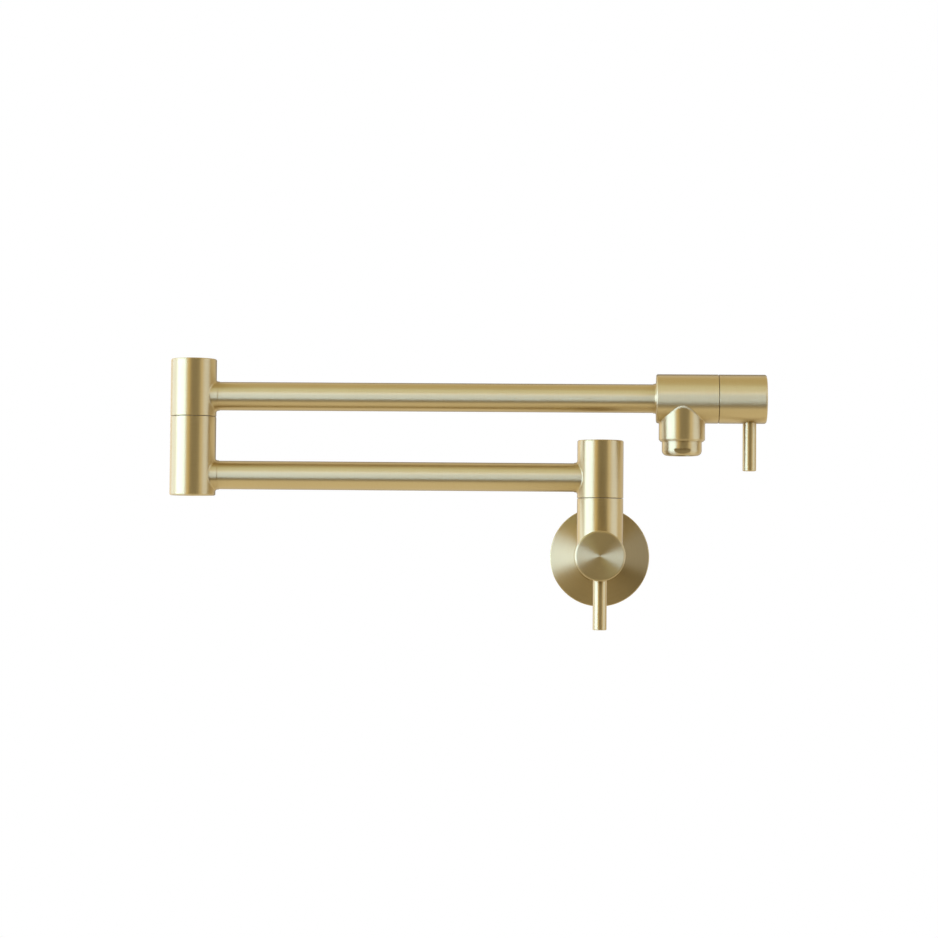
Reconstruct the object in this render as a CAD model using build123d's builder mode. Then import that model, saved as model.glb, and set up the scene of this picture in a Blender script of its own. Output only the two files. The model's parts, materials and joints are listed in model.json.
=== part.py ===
from build123d import *

import os

# A wall-mounted pot filler: two hollow arms that fold over each other, with a quarter-turn valve at
# the wall and a second one at the spout.
#
# Millimetres. The wall is the plane y = 0 and the pot filler stands out from it towards -Y, with +Z
# up. The origin is the centre of the inlet in the wall plane. At rest the arms lie folded along the
# wall towards -X, one above the other, and both levers hang down, which is the closed position.

# ---- Layout ---------------------------------------------------------------------------------------
wall_to_arms = 50.0  # wall to the upright plane that holds both columns and both tubes
inner_reach = 258.0  # base column axis to elbow axis
spout_past_base = 51.0  # base column axis to spout axis with the arms folded
base_rise = 49.5  # inlet axis up to the axis of the lower tube
arm_pitch = 50.0  # lower tube axis up to the axis of the upper tube

# ---- Clearances and edges ---------------------------------------------------------------------------
seam = 0.35  # gap that shows where two outer pieces turn on each other
running = 0.05  # radial clearance of a shaft that turns in its bore
fit = 0.03  # clearance of a joint that is screwed, pressed or brazed
drip = 0.2  # axial play under a retaining washer
edge = 0.6  # chamfer on the outer ends of columns and bodies
seam_edge = 0.2  # broken edge beside a seam
groove_width = 1.35  # width of an O-ring's groove over the ring's own thickness
past_skin = 1.0  # a groove or socket is cut from this far outside the skin

# ---- Tubes and columns ------------------------------------------------------------------------------
tube_d = 18.0
tube_wall = 1.0
tube_seat = 3.7  # depth of the tube's socket from the column's skin
tube_stop = 3.5  # ledge at the floor of that socket
column_d = 29.0
hub_below = 13.2  # tube axis above the seam under its hub
hub_above = 23.4  # top of the hub above the tube axis
elbow_foot = 13.0  # bottom of the elbow's lower half below the tube axis
collar_proud = 0.3  # brazing collar stands this far out from the tube
collar_length = 1.9  # and runs this far past the column
braze_fillet = 1.3  # hollow fillet between collar and column

# ---- Swivel: hollow spigot, its rings and what holds the hub down -----------------------------------
hub_wall = 5.95  # hub between its outer skin and the spigot bore
spigot_bore_d = 10.0
spigot_root = 11.5  # length screwed into the column under the flange
spigot_flange = 1.0
slip_ring_t = 0.9
recess_land = 2.5  # plain rim round the recess for spigot flange and slip ring
port_d = 5.0  # cross holes that pass water from the spigot into the hub
port_land = 2.3  # waist beyond those cross holes
port_roof = 1.0  # bore beyond those cross holes
waist_depth = 1.5
groove_land = 1.2  # full-width spigot between the waist and the ring above it
ring_section = 1.2  # thickness of the swivel's O-rings
spigot_head = 3.3  # spigot above its upper ring groove
retainer_t = 1.2
retainer_gap = 0.4  # washer edge to the wall of its pocket
screw_d = 4.1
screw_depth = 6.0
screw_slack = 0.6  # empty thread under the screw's tip
screw_head_d = 8.8
screw_head_t = 3.2
screw_head_edge = 0.4
screw_key = 4.0
screw_key_depth = 2.1
cap_rim = 2.5  # hub wall round the cap
cap_ledge = 1.0
cap_t = 4.2

# ---- Valve body and cartridge, the same at the wall and at the spout --------------------------------
valve_d = 30.8
valve_front = 22.65  # branch axis to the body's front face
body_wall = 3.4  # body round the bonnet nut
ledge_depth = 11.0  # front face down to the step that the cartridge flange sits on
ledge_step = 1.6
seat_depth = 6.0  # seat behind the branch axis
seat_wall = 3.0
seat_bore_d = 11.0
water_gap = 1.1  # ring of water round the cartridge barrel
barrel_wall = 1.4
barrel_lift = 0.2  # barrel ends this far short of the seat
guide_length = 4.5  # full-width part of the cartridge under its flange
flange_t = 2.2
neck_wall = 3.2  # cartridge round the spindle
neck_inset = 1.2  # neck ends this far behind the body's front face
barrel_ring = 1.45  # thickness of the cartridge's O-ring
seal_t = 2.4
seal_rib = 2.3  # width of the rubber seal ring
disc_t = 3.0
disc_hub_d = 4.0
opening_angle = 80.0  # sector that each of a ceramic disc's two openings takes up
window_angle = 100.0  # sector that each of the barrel's two windows takes up
window_land = 0.4  # metal left between the windows and what is next to them
spindle_d = 8.0
foot_t = 2.0  # bar under the spindle that rests on the moving disc
foot_w = 5.0
tongue_w = 3.0  # slot in the moving disc and the tongue in it
tongue_h = 0.9
spline_teeth = 20
spline_tooth_d = 0.7
spline_length = 10.5
spindle_ring = 0.9  # thickness of the spindle's O-ring
spindle_ring_at = 18.5  # branch axis to that ring
turn_angle = 90.0  # travel of the handle
stop_angle = 40.0  # sector of the stop lug on the spindle
stop_play = 3.0  # angle left beyond the travel on each side
stop_t = 2.4
nut_t = 5.0
nut_hex = 18.0  # across flats
nut_hex_t = 2.9

# ---- Handle, the same on both valves ----------------------------------------------------------------
handle_length = 29.8
handle_edge = 1.4
pocket_d = 18.0  # hollow back end of the handle
pocket_depth = 5.6
crown_t = 6.7  # solid metal behind the turned face
adapter_d = 12.0
adapter_web = 2.4  # adapter between the spindle's end and its screw's head
adapter_slack = 0.5
adapter_screw_d = 3.9
adapter_screw_length = 6.0  # thread in the spindle
adapter_screw_head_d = 7.0
adapter_screw_head_t = 2.4
adapter_screw_key = 3.0
adapter_screw_key_depth = 1.6
lever_d = 8.5
lever_tip = 45.2  # valve axis to the tip of the lever
lever_inset = 10.5  # lever axis back from the handle's face
lever_sink = 1.8  # flat-bottomed seat of the lever in the handle
lever_edge = 0.7
lever_stud_d = 5.0
lever_stud = 2.2
grub_length = 4.6
grub_key = 2.5
grub_key_depth = 2.3

# ---- Wall end -----------------------------------------------------------------------------------------
inlet_d = 18.64  # crests of the G 1/2 female thread
inlet_depth = 14.0
inlet_chamfer = 0.5
passage_d = 14.0
tail_d = 25.6  # rear end of the body, held in the bracket
bracket_d = 54.0
bracket_t = 2.5
collar_wall = 3.5
collar_height = 6.5
wall_screw_d = 4.5
wall_screw_head_d = 8.4
wall_screw_circle = 43.0
wall_screws = 3
bracket_grub_d = 3.0
bracket_grub_key = 1.5
bracket_grub_key_depth = 1.5
rose_d = 64.0  # cover against the wall, with a high rim and a low conical front
rose_rim = 7.3
rose_edge = 0.8
rose_height = 10.4
rose_lip = 1.2  # metal round the body at the front of the cone
rose_wall = 2.0  # metal under the cone, measured square to the wall
rose_bore_length = 3.6
rose_clear = 0.1
rose_lift = 0.3  # rim stands this far off the wall, on its gasket
rose_ring = 1.4  # thickness of the O-ring that grips the body
gasket_t = 1.5
gasket_w = 3.0
gasket_lip = 0.8

# ---- Spout ----------------------------------------------------------------------------------------------
spout_d = 29.0
spout_drop = 27.0  # valve axis to the spout's rim
spout_back = 16.2  # spout axis to the rear face of the body
spout_edge = 1.2
saddle_fillet = 0.6  # where a column or the spout meets its valve body
spout_passage_d = 15.0
socket_slack = 1.0  # tube end to the seat wall
aerator_d = 25.0
aerator_drop = 8.8
aerator_edge = 3.2
aerator_flats = 22.8  # across the two spanner flats
flats_height = 4.0
aerator_thread = 6.6
thread_step = 1.5  # collar stands this far out past its thread
aerator_skin = 1.2  # housing round the insert
aerator_lip = 0.9
aerator_recess = 1.4
insert_wall = 1.0
comb_t = 3.0
comb_cell = 2.9  # across flats
comb_wall = 0.45
comb_rows = 5
jet_plate_t = 1.6
jet_d = 1.3
jets = 12
jet_circle = 12.0
washer_t = 1.5
washer_w = 2.9

# ---- What follows from those sizes --------------------------------------------------------------------
tube_r = tube_d / 2
column_r = column_d / 2
socket_floor = column_r - tube_seat
water_r = tube_r - tube_stop

bore_r = column_r - hub_wall
spigot_r = bore_r - running
recess_r = column_r - recess_land
recess_depth = spigot_flange + slip_ring_t - (seam - running)
flange_top = spigot_flange - recess_depth
spigot_foot = -recess_depth - spigot_root
ring_low = (hub_below - water_r) / 2
waist_r = spigot_r - waist_depth
waist_low = hub_below - port_d / 2 - port_land
waist_high = hub_below + port_d / 2 + port_land
ring_room = ring_section * groove_width
ring_high = waist_high + groove_land + ring_room / 2
spigot_top = ring_high + ring_room / 2 + spigot_head
retainer_top = spigot_top + retainer_t
ledge = spigot_top - drip
cap_r = column_r - cap_rim
hub_pocket_r = cap_r - cap_ledge
hub_top = hub_below + hub_above
cap_floor = hub_top - cap_t

outer_reach = inner_reach + spout_past_base
upper_tube_z = base_rise + arm_pitch
base_seam_z = base_rise - hub_below
elbow_seam_z = upper_tube_z - hub_below

valve_r = valve_d / 2
nut_r = valve_r - body_wall
chamber_r = nut_r - ledge_step
flange_seat = valve_front - ledge_depth
nut_seat = flange_seat + flange_t
barrel_r = chamber_r - water_gap
cavity_r = barrel_r - barrel_wall
disc_r = cavity_r - running
guide_r = chamber_r - fit
guide_low = flange_seat - guide_length
disc_floor = seal_t - seat_depth
slide_plane = disc_floor + disc_t
disc_top = slide_plane + disc_t
stop_low = guide_low - window_land / 2
stop_high = stop_low + stop_t
spindle_r = spindle_d / 2
neck_r = spindle_r + neck_wall
neck_top = valve_front - neck_inset
spline_root = spindle_r - spline_tooth_d / 2

handle_back = valve_front + seam
handle_face = handle_back + handle_length
adapter_back = handle_back + pocket_depth
adapter_front = handle_face - crown_t
adapter_r = adapter_d / 2
spindle_end = adapter_back + spline_length
adapter_floor = spindle_end + adapter_slack + adapter_web
lever_at = handle_face - lever_inset
lever_r = lever_d / 2
lever_seat = valve_r - lever_sink
stud_r = lever_stud_d / 2

tail_r = tail_d / 2
collar_r = tail_r + fit + collar_wall
bracket_grub_at = (bracket_t + collar_height) / 2
rose_r = rose_d / 2
rose_bore = valve_r + rose_clear
rose_mouth = rose_bore + rose_lip
rim_top = rose_lift + rose_rim
rose_slope = (rose_height - rim_top) / (rose_r - rose_mouth)
rose_ring_at = rose_height - rose_bore_length / 2

spout_r = spout_d / 2
socket_end = seat_depth + seat_wall + socket_slack
aerator_r = aerator_d / 2
aerator_end = spout_drop + aerator_drop
thread_r = aerator_r - thread_step
washer_seat = spout_drop - aerator_thread - washer_t
insert_top = washer_seat + washer_t
insert_end = aerator_end - aerator_recess
insert_r = thread_r - aerator_skin

# ---- Places ---------------------------------------------------------------------------------------------
# A frame's z runs along the axis of what it holds, and its x points to the tube or, on a valve, sideways.
wall = Plane(origin=(0, 0, 0), x_dir=(1, 0, 0), z_dir=(0, -1, 0))
base_valve = wall.offset(wall_to_arms)
base_column = Plane(origin=base_valve.origin, x_dir=(-1, 0, 0), z_dir=(0, 0, 1))
base_swivel = base_column.offset(base_seam_z)
elbow_swivel = Plane(origin=(-inner_reach, -wall_to_arms, elbow_seam_z), x_dir=(1, 0, 0))
lower_tube = Plane(origin=(-inner_reach, -wall_to_arms, base_rise), x_dir=(0, 1, 0), z_dir=(1, 0, 0))
upper_tube = Plane(origin=(-inner_reach, -wall_to_arms, upper_tube_z), x_dir=(0, 1, 0), z_dir=(1, 0, 0))
spout_valve = upper_tube.offset(outer_reach)
spout_axis = Plane(origin=spout_valve.origin, x_dir=(1, 0, 0), z_dir=(0, 0, -1))


def spine(frame):
    """The axis of what a frame holds."""
    return Axis(frame.origin, frame.z_dir)


def side_of(frame):
    """The plane through that axis, with radius across and height along it."""
    return Plane(origin=frame.origin, x_dir=frame.x_dir, z_dir=-frame.y_dir)


def across(frame, height, direction):
    """A frame that starts on the axis at this height and runs out sideways."""
    return Plane(origin=frame.offset(height).origin, x_dir=frame.z_dir, z_dir=direction)


def below(frame):
    """A valve's lever frame: out from the valve axis and straight down."""
    return across(frame, lever_at, -frame.y_dir)


def turn(frame, *points, mode=Mode.ADD):
    """Turns the outline through these (radius, height) points about the frame's axis."""
    with BuildSketch(side_of(frame)) as section:
        with BuildLine():
            Polyline(*points, close=True)
        make_face()
    revolve(section.sketch, axis=spine(frame), mode=mode)


def rod(frame, radius, start, end, mode=Mode.ADD):
    """A round bar about the frame's axis between two heights, or the hole that it would leave."""
    with BuildSketch(frame.offset(start)) as section:
        Circle(radius)
    extrude(section.sketch, amount=end - start, mode=mode)


def wedge(frame, inner, outer, start, end, middle, angle, mode=Mode.ADD):
    """A slice of a ring about the frame's axis, its middle at this angle from the frame's x."""
    first = frame.x_dir.rotate(spine(frame), middle - angle / 2)
    turned = Plane(origin=frame.origin, x_dir=first, z_dir=frame.z_dir)
    with BuildSketch(side_of(turned)) as section:
        with BuildLine():
            Polyline((inner, start), (outer, start), (outer, end), (inner, end), close=True)
        make_face()
    revolve(section.sketch, axis=spine(frame), revolution_arc=angle, mode=mode)


def key_socket(frame, flats, start, end):
    """Cuts a hexagon socket about the frame's axis."""
    with BuildSketch(frame.offset(start)) as section:
        RegularPolygon(flats / 2, 6, major_radius=False)
    extrude(section.sketch, amount=end - start, mode=Mode.SUBTRACT)


def cut_ring_groove(frame, skin, height, thickness):
    """Cuts the groove of an O-ring of this thickness into a shaft with this outer radius."""
    floor = skin - thickness - fit
    half = thickness * groove_width / 2
    turn(
        frame,
        (floor, height - half),
        (skin + past_skin, height - half),
        (skin + past_skin, height + half),
        (floor, height + half),
        mode=Mode.SUBTRACT,
    )


def add_ring(frame, skin, height, thickness):
    """Adds the O-ring that lies in such a groove, level with the shaft."""
    with BuildSketch(side_of(frame)) as section:
        with Locations((skin - thickness / 2, height)):
            Circle(thickness / 2)
    revolve(section.sketch, axis=spine(frame))


def outer_circles(part, frame):
    """The widest round edges of a part, from the frame's lower end to its upper one."""
    return part.edges().filter_by(GeomType.CIRCLE).group_by(SortBy.RADIUS)[-1].sort_by(spine(frame))


def saddle_edges(part):
    """The curves where two round bars meet, which are neither lines nor circles."""
    return part.edges().filter_by(lambda e: e.geom_type not in (GeomType.LINE, GeomType.CIRCLE))


def save(part, name):
    """Labels a finished piece and writes it under that name."""
    part.label = name
    export_step(part, f"parts/{name}.step")


os.makedirs("parts", exist_ok=True)


# ---- Columns, hubs and tubes --------------------------------------------------------------------------
def cut_spigot_socket(frame, floor):
    """Opens the top of a column for a spigot: recess, thread and the water way down to a floor."""
    rod(frame, recess_r, -recess_depth, seam, mode=Mode.SUBTRACT)
    rod(frame, spigot_r + fit, spigot_foot, seam, mode=Mode.SUBTRACT)
    rod(frame, water_r, floor, seam, mode=Mode.SUBTRACT)


def add_collar(frame, height):
    """Adds the brazing collar of a tube at this height, with its hollow fillet to the column."""
    port = across(frame, height, frame.x_dir)
    rod(port, tube_r + collar_proud, socket_floor, column_r + collar_length)


def cut_tube_socket(frame, height):
    """Cuts the socket of a tube and the smaller hole that lets water into it."""
    port = across(frame, height, frame.x_dir)
    rod(port, tube_r + fit, socket_floor, column_r + collar_length + past_skin, mode=Mode.SUBTRACT)
    rod(port, water_r, 0, column_r, mode=Mode.SUBTRACT)


def make_hub(frame, name):
    """The half of a swivel column that turns on the spigot and carries a tube."""
    with BuildPart() as hub:
        rod(frame, column_r, seam, hub_top)
        chamfer(outer_circles(hub, frame)[-1], edge)
        chamfer(outer_circles(hub, frame)[0], seam_edge)
        add_collar(frame, hub_below)
        fillet(saddle_edges(hub), braze_fillet)
        rod(frame, bore_r, 0, hub_top, mode=Mode.SUBTRACT)
        rod(frame, hub_pocket_r, ledge, hub_top, mode=Mode.SUBTRACT)
        rod(frame, cap_r + fit, cap_floor, hub_top, mode=Mode.SUBTRACT)
        cut_tube_socket(frame, hub_below)
    save(hub.part, name)


def make_hub_cap(frame, name):
    """The plug that closes the top of a hub."""
    with BuildPart() as cap:
        rod(frame, cap_r, cap_floor, hub_top)
        chamfer(outer_circles(cap, frame)[-1], seam_edge)
    save(cap.part, name)


def make_spigot(frame, name):
    """The hollow pin that a hub turns on: screwed into the column below, with ports at the tube."""
    with BuildPart() as spigot:
        turn(
            frame,
            (0, spigot_foot),
            (spigot_r, spigot_foot),
            (spigot_r, -recess_depth),
            (recess_r - fit, -recess_depth),
            (recess_r - fit, flange_top),
            (spigot_r, flange_top),
            (spigot_r, waist_low),
            (waist_r, waist_low + waist_depth / 2),
            (waist_r, waist_high - waist_depth / 2),
            (spigot_r, waist_high),
            (spigot_r, spigot_top - seam_edge),
            (spigot_r - seam_edge, spigot_top),
            (0, spigot_top),
        )
        for height in (ring_low, ring_high):
            cut_ring_groove(frame, spigot_r, height, ring_section)
        bore_end = hub_below + port_d / 2 + port_roof
        rod(frame, spigot_bore_d / 2, spigot_foot, bore_end, mode=Mode.SUBTRACT)
        rod(frame, screw_d / 2 + fit, spigot_top - screw_depth, spigot_top, mode=Mode.SUBTRACT)
        for direction in (frame.x_dir, frame.y_dir):
            port = across(frame, hub_below, direction)
            rod(port, port_d / 2, -spigot_r, spigot_r, mode=Mode.SUBTRACT)
    save(spigot.part, name)


def make_swivel_rings(frame, name):
    """The two O-rings that seal the hub above and below its water ports."""
    with BuildPart() as rings:
        for height in (ring_low, ring_high):
            add_ring(frame, spigot_r, height, ring_section)
    save(rings.part, name)


def make_slip_ring(frame, name):
    """The plastic ring that the hub rests and turns on."""
    with BuildPart() as slip_ring:
        rod(frame, recess_r - fit, flange_top, flange_top + slip_ring_t)
        rod(frame, spigot_r + fit, flange_top, flange_top + slip_ring_t, mode=Mode.SUBTRACT)
    save(slip_ring.part, name)


def make_retainer(frame, name):
    """The washer on top of the spigot that stops the hub from lifting off."""
    with BuildPart() as washer:
        rod(frame, hub_pocket_r - retainer_gap, spigot_top, retainer_top)
        rod(frame, screw_d / 2 + fit, spigot_top, retainer_top, mode=Mode.SUBTRACT)
    save(washer.part, name)


def make_retainer_screw(frame, name):
    """The socket-head screw that clamps that washer to the spigot."""
    head_top = retainer_top + screw_head_t
    with BuildPart() as screw:
        rod(frame, screw_d / 2, spigot_top - screw_depth + screw_slack, retainer_top)
        rod(frame, screw_head_d / 2, retainer_top, head_top)
        chamfer(outer_circles(screw, frame)[-1], screw_head_edge)
        key_socket(frame, screw_key, head_top - screw_key_depth, head_top)
    save(screw.part, name)


for swivel, place in ((base_swivel, "base"), (elbow_swivel, "elbow")):
    make_hub(swivel, f"{place}_hub")
    make_hub_cap(swivel, f"{place}_hub_cap")
    make_spigot(swivel, f"{place}_spigot")
    make_swivel_rings(swivel, f"{place}_swivel_o_rings")
    make_slip_ring(swivel, f"{place}_slip_ring")
    make_retainer(swivel, f"{place}_retainer_washer")
    make_retainer_screw(swivel, f"{place}_retainer_screw")

# The elbow's lower half carries the end of the lower tube and the spigot of the upper one.
tube_drop = base_rise - elbow_seam_z
with BuildPart() as elbow_foot_hub:
    rod(elbow_swivel, column_r, tube_drop - elbow_foot, 0)
    chamfer(outer_circles(elbow_foot_hub, elbow_swivel)[0], edge)
    chamfer(outer_circles(elbow_foot_hub, elbow_swivel)[-1], seam_edge)
    add_collar(elbow_swivel, tube_drop)
    fillet(saddle_edges(elbow_foot_hub), braze_fillet)
    cut_spigot_socket(elbow_swivel, tube_drop - water_r)
    cut_tube_socket(elbow_swivel, tube_drop)
save(elbow_foot_hub.part, "elbow_foot_hub")


def make_tube(frame, end, name):
    """A straight tube from the floor of its elbow socket to its other end."""
    with BuildPart() as tube:
        rod(frame, tube_r, socket_floor, end)
        rod(frame, tube_r - tube_wall, socket_floor, end, mode=Mode.SUBTRACT)
    save(tube.part, name)


make_tube(lower_tube, inner_reach - socket_floor, "inner_tube")
make_tube(upper_tube, outer_reach - socket_end, "outer_tube")


# ---- Valve bodies -------------------------------------------------------------------------------------
def cut_cartridge_bore(frame):
    """Cuts the stepped bore of a cartridge down to its seat, and the hole in the seat."""
    turn(
        frame,
        (0, -seat_depth),
        (chamber_r, -seat_depth),
        (chamber_r, flange_seat),
        (nut_r, flange_seat),
        (nut_r, valve_front),
        (0, valve_front),
        mode=Mode.SUBTRACT,
    )
    rod(frame, seat_bore_d / 2, -seat_depth - seat_wall, 0, mode=Mode.SUBTRACT)


with BuildPart() as valve_body:
    rod(base_valve, valve_r, collar_height - wall_to_arms, valve_front)
    chamfer(outer_circles(valve_body, wall)[0], edge)
    chamfer(outer_circles(valve_body, wall)[-1], seam_edge)
    rod(base_column, column_r, 0, base_seam_z)
    chamfer(valve_body.edges().filter_by(GeomType.CIRCLE).sort_by(Axis.Z)[-1], seam_edge)
    fillet(saddle_edges(valve_body), saddle_fillet)
    rod(wall, tail_r, 0, collar_height)
    cut_cartridge_bore(base_valve)
    rod(wall, passage_d / 2, 0, wall_to_arms - seat_depth - seat_wall, mode=Mode.SUBTRACT)
    rod(wall, inlet_d / 2, 0, inlet_depth, mode=Mode.SUBTRACT)
    turn(
        wall,
        (0, 0),
        (inlet_d / 2 + inlet_chamfer, 0),
        (inlet_d / 2, inlet_chamfer),
        (0, inlet_chamfer),
        mode=Mode.SUBTRACT,
    )
    cut_spigot_socket(base_swivel, -base_seam_z)
save(valve_body.part, "valve_body")

with BuildPart() as spout_body:
    rod(spout_valve, valve_r, -spout_back, valve_front)
    chamfer(outer_circles(spout_body, spout_valve)[0], edge)
    chamfer(outer_circles(spout_body, spout_valve)[-1], seam_edge)
    rod(spout_axis, spout_r, 0, spout_drop)
    chamfer(spout_body.edges().filter_by(GeomType.CIRCLE).sort_by(Axis.Z)[0], spout_edge)
    fillet(saddle_edges(spout_body), saddle_fillet)
    rod(spout_valve, tube_r + collar_proud, -spout_back - collar_length, -seat_depth)
    rear_face = spout_body.faces().filter_by(Axis.X).group_by(Axis.X)[1]
    fillet(rear_face.edges().filter_by(GeomType.CIRCLE).sort_by(SortBy.RADIUS)[0], braze_fillet)
    cut_cartridge_bore(spout_valve)
    rod(spout_valve, tube_r - tube_wall, -socket_end, -seat_depth - seat_wall, mode=Mode.SUBTRACT)
    rod(spout_valve, tube_r + fit, -spout_back - collar_length, -socket_end, mode=Mode.SUBTRACT)
    rod(spout_axis, spout_passage_d / 2, 0, spout_drop, mode=Mode.SUBTRACT)
    rod(spout_axis, thread_r + fit, washer_seat, spout_drop, mode=Mode.SUBTRACT)
save(spout_body.part, "spout_body")


# ---- Cartridge of one valve ---------------------------------------------------------------------------
def make_seat_seal(frame, name):
    """The rubber ring between the seat in the body and the fixed disc."""
    with BuildPart() as seal:
        rod(frame, disc_r, -seat_depth, disc_floor)
        rod(frame, disc_r - seal_rib, -seat_depth, disc_floor, mode=Mode.SUBTRACT)
    save(seal.part, name)


def add_disc(frame, start, middle):
    """Adds a ceramic disc with two opposite openings, the first one at this angle."""
    rod(frame, disc_r, start, start + disc_t)
    for angle in (middle, middle + 180):
        wedge(
            frame,
            disc_hub_d / 2,
            disc_r - seal_rib,
            start,
            start + disc_t,
            angle,
            opening_angle,
            mode=Mode.SUBTRACT,
        )


def add_bar(frame, width, start, end, mode=Mode.ADD):
    """A bar across the barrel, rounded to fit in it, between two heights, or its slot."""
    with BuildSketch(frame.offset(start)) as section:
        Circle(disc_r)
        Rectangle(2 * disc_r, width, mode=Mode.INTERSECT)
    extrude(section.sketch, amount=end - start, mode=mode)


def make_fixed_disc(frame, name):
    """The ceramic disc on the seal, which stays still."""
    with BuildPart() as disc:
        add_disc(frame, disc_floor, 0)
    save(disc.part, name)


def make_moving_disc(frame, name):
    """The ceramic disc that the spindle turns, a quarter turn away from the fixed disc's openings."""
    with BuildPart() as disc:
        add_disc(frame, slide_plane, turn_angle)
        add_bar(frame, tongue_w, disc_top - tongue_h, disc_top, mode=Mode.SUBTRACT)
    save(disc.part, name)


def make_cartridge(frame, name):
    """The cartridge's shell: barrel with two windows, stop for the spindle, flange and neck."""
    with BuildPart() as shell:
        turn(
            frame,
            (0, barrel_lift - seat_depth),
            (barrel_r, barrel_lift - seat_depth),
            (barrel_r, guide_low),
            (guide_r, guide_low),
            (guide_r, flange_seat),
            (nut_r - fit, flange_seat),
            (nut_r - fit, nut_seat),
            (neck_r, nut_seat),
            (neck_r, neck_top),
            (0, neck_top),
        )
        cut_ring_groove(frame, guide_r, flange_seat - guide_length / 2, barrel_ring)
        rod(frame, spindle_r + running, stop_low, neck_top, mode=Mode.SUBTRACT)
        rod(frame, cavity_r, -seat_depth, stop_low, mode=Mode.SUBTRACT)
        free_angle = stop_angle + turn_angle + 2 * stop_play
        wedge(frame, 0, cavity_r, stop_low, stop_high, 90, free_angle, mode=Mode.SUBTRACT)
        for angle in (90, 270):
            wedge(
                frame,
                cavity_r - running,
                barrel_r + running,
                disc_top + window_land,
                guide_low - window_land,
                angle,
                window_angle,
                mode=Mode.SUBTRACT,
            )
    save(shell.part, name)


def make_cartridge_ring(frame, name):
    """The O-ring round the cartridge's guide."""
    with BuildPart() as o_ring:
        add_ring(frame, guide_r, flange_seat - guide_length / 2, barrel_ring)
    save(o_ring.part, name)


def make_bonnet_nut(frame, name):
    """The nut that screws into the body and clamps the cartridge's flange."""
    with BuildPart() as nut:
        rod(frame, nut_r - fit, nut_seat, nut_seat + nut_t)
        with BuildSketch(frame.offset(nut_seat + nut_t)) as hexagon:
            RegularPolygon(nut_hex / 2, 6, major_radius=False)
        extrude(hexagon.sketch, amount=nut_hex_t)
        rod(frame, neck_r + fit, nut_seat, nut_seat + nut_t + nut_hex_t, mode=Mode.SUBTRACT)
    save(nut.part, name)


def spline(gap):
    """Adds the spindle's splined section, grown all round by this gap, to the sketch being drawn."""
    Circle(spline_root + gap)
    with PolarLocations(spline_root, spline_teeth):
        Circle(spline_tooth_d / 2 + gap)


def make_spindle(frame, name):
    """The spindle: tongue and foot on the moving disc, stop lug, sealed shaft and splined end."""
    with BuildPart() as spindle:
        add_bar(frame, tongue_w - 2 * fit, disc_top - tongue_h + fit, disc_top)
        add_bar(frame, foot_w, disc_top, disc_top + foot_t)
        rod(frame, spindle_r, disc_top, adapter_back)
        with BuildSketch(frame.offset(adapter_back)) as splined:
            spline(0)
        extrude(splined.sketch, amount=spline_length)
        lug_at = 90 - turn_angle / 2
        wedge(frame, 0, disc_r, stop_low + running, stop_high - running, lug_at, stop_angle)
        cut_ring_groove(frame, spindle_r, spindle_ring_at, spindle_ring)
        thread_low = spindle_end - adapter_screw_length
        rod(frame, adapter_screw_d / 2 + fit, thread_low, spindle_end, mode=Mode.SUBTRACT)
    save(spindle.part, name)


def make_spindle_ring(frame, name):
    """The O-ring that seals the spindle in the cartridge's neck."""
    with BuildPart() as o_ring:
        add_ring(frame, spindle_r, spindle_ring_at, spindle_ring)
    save(o_ring.part, name)


# ---- Handle of one valve ------------------------------------------------------------------------------
def make_adapter(frame, name):
    """The splined bush between spindle and handle."""
    with BuildPart() as adapter:
        rod(frame, adapter_r, adapter_back, adapter_front)
        with BuildSketch(frame.offset(adapter_back)) as splined:
            spline(fit)
        extrude(splined.sketch, amount=spline_length + adapter_slack, mode=Mode.SUBTRACT)
        rod(frame, adapter_screw_d / 2 + fit, adapter_back, adapter_front, mode=Mode.SUBTRACT)
        pocket_r = adapter_screw_head_d / 2 + running
        rod(frame, pocket_r, adapter_floor, adapter_front, mode=Mode.SUBTRACT)
    save(adapter.part, name)


def make_adapter_screw(frame, name):
    """The screw that holds the adapter on the spindle."""
    head_top = adapter_floor + adapter_screw_head_t
    with BuildPart() as screw:
        tip = spindle_end - adapter_screw_length + screw_slack
        rod(frame, adapter_screw_d / 2, tip, adapter_floor)
        rod(frame, adapter_screw_head_d / 2, adapter_floor, head_top)
        key_socket(frame, adapter_screw_key, head_top - adapter_screw_key_depth, head_top)
    save(screw.part, name)


def make_handle(frame, name):
    """The round handle: hollow at the back, bored for the adapter and cross-bored for the lever."""
    with BuildPart() as handle:
        rod(frame, valve_r, handle_back, handle_face)
        fillet(outer_circles(handle, frame)[-1], handle_edge)
        chamfer(outer_circles(handle, frame)[0], seam_edge)
        rod(frame, pocket_d / 2, handle_back, adapter_back, mode=Mode.SUBTRACT)
        rod(frame, adapter_r + fit, adapter_back, adapter_front + fit, mode=Mode.SUBTRACT)
        rod(below(frame), stud_r + fit, 0, lever_seat, mode=Mode.SUBTRACT)
        rod(below(frame), lever_r + fit, lever_seat, valve_r, mode=Mode.SUBTRACT)
    save(handle.part, name)


def make_lever(frame, name):
    """The pin lever, screwed into the handle with a short stud."""
    with BuildPart() as lever:
        rod(below(frame), lever_r, lever_seat, lever_tip)
        fillet(outer_circles(lever, below(frame))[-1], lever_edge)
        rod(below(frame), stud_r, lever_seat - lever_stud, lever_seat)
    save(lever.part, name)


def make_handle_grub(frame, name):
    """The grub screw under the lever that locks the handle on the adapter."""
    outer_end = adapter_r + fit + grub_length
    with BuildPart() as grub:
        rod(below(frame), stud_r, adapter_r + fit, outer_end)
        key_socket(below(frame), grub_key, outer_end - grub_key_depth, outer_end)
    save(grub.part, name)


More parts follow.
